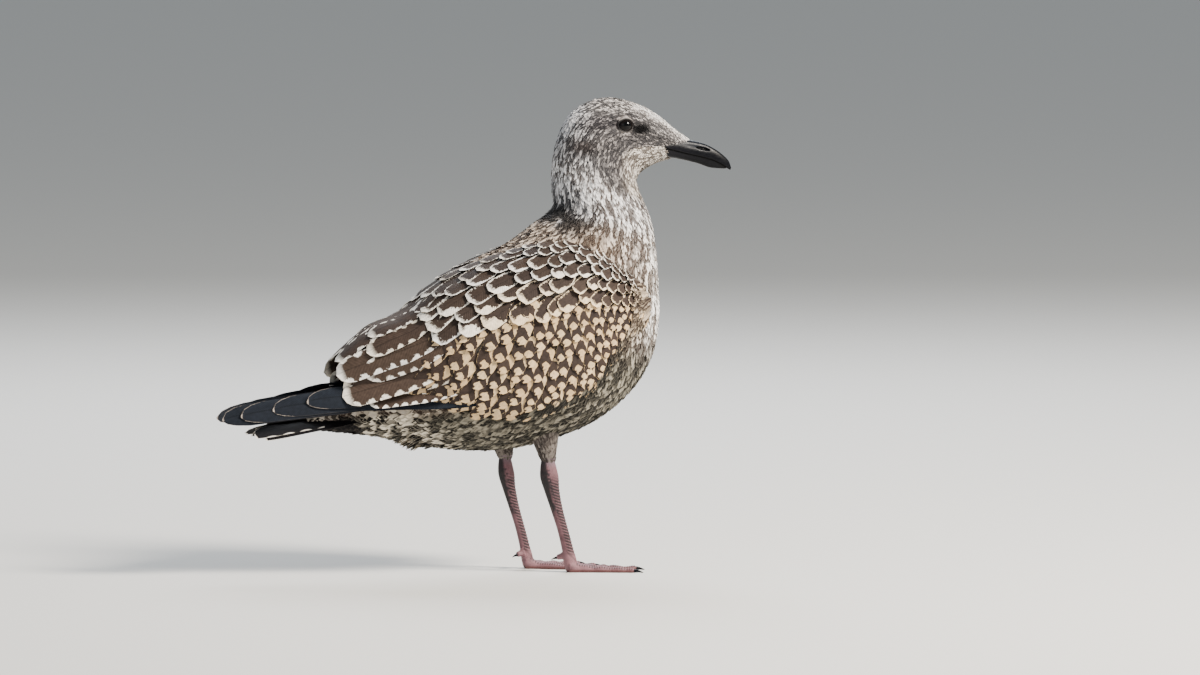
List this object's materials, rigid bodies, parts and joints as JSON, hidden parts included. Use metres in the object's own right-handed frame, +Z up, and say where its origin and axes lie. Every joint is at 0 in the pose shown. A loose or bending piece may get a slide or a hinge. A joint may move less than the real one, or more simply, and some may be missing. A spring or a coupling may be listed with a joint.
{
  "type": "juvenile herring gull",
  "caption": "Life-size still model of a young herring gull standing on its webbed feet, head level and wings folded over the back, for display; it has no joints.",
  "frame": {"origin": "on the floor, under the middle of the whole bird's box; the soles are at z = 0", "axes": "+X the way the bill points, +Y to the bird's left, +Z up"},
  "size_m": [0.474, 0.156, 0.4246],
  "materials": {
    "head_plumage": "whitish feathers with fine grey-brown streaks",
    "body_plumage": "soft mottled grey-brown and buff feathers",
    "belly_plumage": "loose grey-buff down and barred coverts, a narrow body under them",
    "wing_plumage": "dark brown feathers with pale notched edges",
    "flight_feather": "stiff blackish-brown vanes with pale fringes",
    "bill_horn": "blackish horn with a grey sheen",
    "claw_horn": "dark horn",
    "eye": "wet dark brown",
    "leg_skin": "dull pink scaled skin"
  },
  "bodies": {
    "root": {"head": "head_plumage", "neck": "head_plumage", "trunk": "body_plumage", "abdomen": "belly_plumage", "tail": "flight_feather", "bill_upper": "bill_horn", "bill_lower": "bill_horn", "eye_right": "eye", "wing_right": "wing_plumage", "tertials_right": "flight_feather", "primaries_right": "flight_feather", "eye_left": "eye", "wing_left": "wing_plumage", "tertials_left": "flight_feather", "primaries_left": "flight_feather", "thigh_right": "body_plumage", "shank_right": "leg_skin", "foot_right": "leg_skin", "claw_inner_right": "claw_horn", "claw_middle_right": "claw_horn", "claw_outer_right": "claw_horn", "claw_hind_right": "claw_horn", "thigh_left": "body_plumage", "shank_left": "leg_skin", "foot_left": "leg_skin", "claw_inner_left": "claw_horn", "claw_middle_left": "claw_horn", "claw_outer_left": "claw_horn", "claw_hind_left": "claw_horn"}
  },
  "joints": []
}
